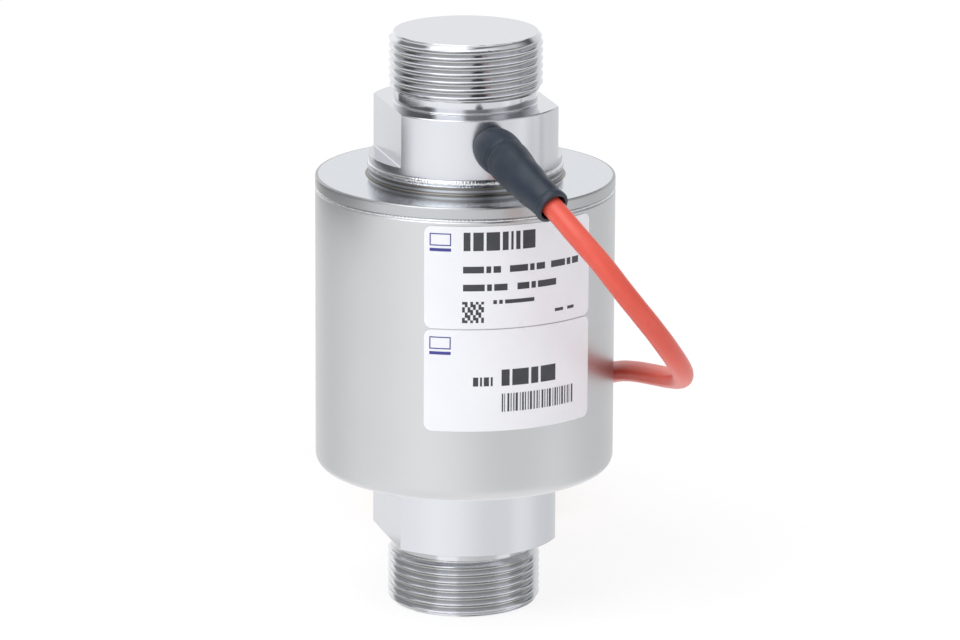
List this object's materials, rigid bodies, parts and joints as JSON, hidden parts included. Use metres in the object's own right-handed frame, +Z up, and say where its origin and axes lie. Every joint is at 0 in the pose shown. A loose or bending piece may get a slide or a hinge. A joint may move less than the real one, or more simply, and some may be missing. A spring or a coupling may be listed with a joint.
{
  "type": "tension load cell",
  "caption": "Tension load cell with a threaded stud and a wrench-flat collar at each end, a sealed round steel housing, a rubber cable boot and its signal cable.",
  "frame": {"origin": "centre of the lower stud's flat end face, which the part stands on", "axes": "+Z up the load axis to the upper stud, +X out of a wrench flat, -Y the way the cable leaves the upper collar"},
  "size_m": [0.0899, 0.2425, 0.149],
  "materials": {
    "turned_steel": "fine turned stainless steel, bright",
    "satin_steel": "satin stainless steel, ground round the housing",
    "polished_steel": "finely faced stainless steel, almost mirror bright",
    "weld_steel": "bright rippled weld bead",
    "gland_steel": "turned stainless steel",
    "boot_rubber": "matt grey-black moulded rubber",
    "cable_sheath": "smooth extruded sheath, semi-matt red",
    "tie_nylon": "moulded black nylon",
    "core_red": "red core insulation",
    "core_black": "black core insulation",
    "core_green": "green core insulation",
    "core_white": "white core insulation",
    "gauge_foil": "metal foil on amber film",
    "board_laminate": "green circuit board laminate",
    "resistor_body": "moulded black",
    "wire_insulation": "grey wire insulation",
    "label_film": "white polyester label film"
  },
  "bodies": {
    "root": {"load_element": "turned_steel", "housing_cup": "satin_steel", "cover_plate": "polished_steel", "upper_neck_weld": "weld_steel", "rim_weld": "weld_steel", "lower_neck_weld": "weld_steel", "gland_body": "gland_steel", "gland_seal": "boot_rubber", "gland_ferrule": "gland_steel", "cable_boot": "boot_rubber", "cable": "cable_sheath", "cable_hank": "cable_sheath", "hank_tie": "tie_nylon", "core_red": "core_red", "core_black": "core_black", "core_green": "core_green", "core_white": "core_white", "strain_gauge_1": "gauge_foil", "strain_gauge_2": "gauge_foil", "strain_gauge_3": "gauge_foil", "strain_gauge_4": "gauge_foil", "solder_terminal_1": "board_laminate", "solder_terminal_2": "board_laminate", "solder_terminal_3": "board_laminate", "solder_terminal_4": "board_laminate", "trim_board": "board_laminate", "trim_resistor_1": "resistor_body", "trim_resistor_2": "resistor_body", "trim_resistor_3": "resistor_body", "gauge_wire_1": "wire_insulation", "gauge_wire_2": "wire_insulation", "gauge_wire_3": "wire_insulation", "gauge_wire_4": "wire_insulation", "wire_bundle": "wire_insulation", "label_upper": "label_film", "label_lower": "label_film"}
  },
  "joints": []
}
